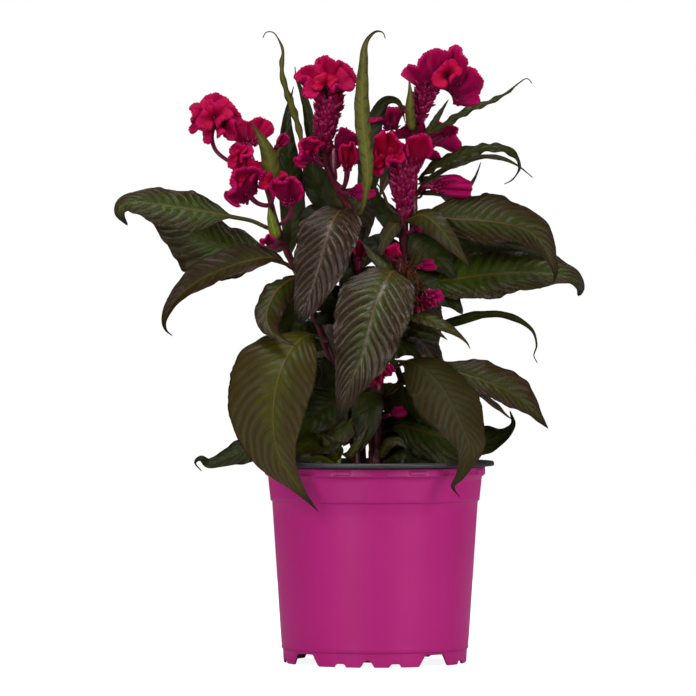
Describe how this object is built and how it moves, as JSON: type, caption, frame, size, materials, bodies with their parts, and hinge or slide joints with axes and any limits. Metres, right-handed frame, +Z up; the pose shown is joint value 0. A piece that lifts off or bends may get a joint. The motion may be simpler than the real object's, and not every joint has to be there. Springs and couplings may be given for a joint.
{
  "type": "potted crested celosia",
  "caption": "Potted crested celosia: dark olive and bronze leaves, crimson ruffled crests over floret columns, in a magenta pot with a black liner pot.",
  "frame": {"origin": "on the pot's axis, at the level of the surface that the pot stands on", "axes": "+Z up along the pot's axis, -Y towards the front of the plant"},
  "size_m": [0.3566, 0.2377, 0.4866],
  "materials": {
    "pot": "satin",
    "liner": "satin",
    "soil": "matte",
    "stem": "satin",
    "leaf": "satin",
    "bloom": "matte"
  },
  "bodies": {
    "root": {"outer_pot": "pot", "inner_pot": "liner", "soil": "soil", "stem_main": "stem", "stem_centre": "stem", "stem_left": "stem", "shoot": "stem", "leaf_left_high": "leaf", "leaf_left_back": "leaf", "leaf_left_front": "leaf", "leaf_bronze": "leaf", "leaf_hooked": "leaf", "leaf_front_left": "leaf", "leaf_left_shaded": "leaf", "leaf_front_centre": "leaf", "leaf_low_left": "leaf", "leaf_low_front": "leaf", "leaf_front_right": "leaf", "leaf_right_low": "leaf", "leaf_low_right": "leaf", "leaf_right_high": "leaf", "leaf_right_mid": "leaf", "leaf_right_front": "leaf", "leaf_right_slender": "leaf", "leaf_tip_right": "leaf", "leaf_upper_right": "leaf", "leaf_upper_back": "leaf", "leaf_tall_left": "leaf", "leaf_tall_centre": "leaf", "leaf_back_1": "leaf", "leaf_back_2": "leaf", "leaf_back_3": "leaf", "leaf_back_4": "leaf", "leaf_back_5": "leaf", "leaf_back_6": "leaf", "leaf_back_7": "leaf", "leaf_back_8": "leaf", "leaf_back_9": "leaf", "bloom_top_right": "bloom", "bloom_top_centre": "bloom", "bloom_left": "bloom", "bloom_left_low": "bloom", "bloom_left_mid": "bloom", "bloom_centre_left": "bloom", "bloom_centre": "bloom", "bloom_mid": "bloom", "bloom_side": "bloom", "bloom_bud_right": "bloom", "bloom_behind": "bloom", "bloom_low_1": "bloom", "bloom_low_2": "bloom", "bloom_low_3": "bloom", "bloom_spray": "bloom", "bloom_inner": "bloom", "bloom_gap": "bloom", "bloom_foot": "bloom", "bloom_far_left": "bloom", "bloom_back_1": "bloom", "bloom_back_2": "bloom"}
  },
  "joints": []
}
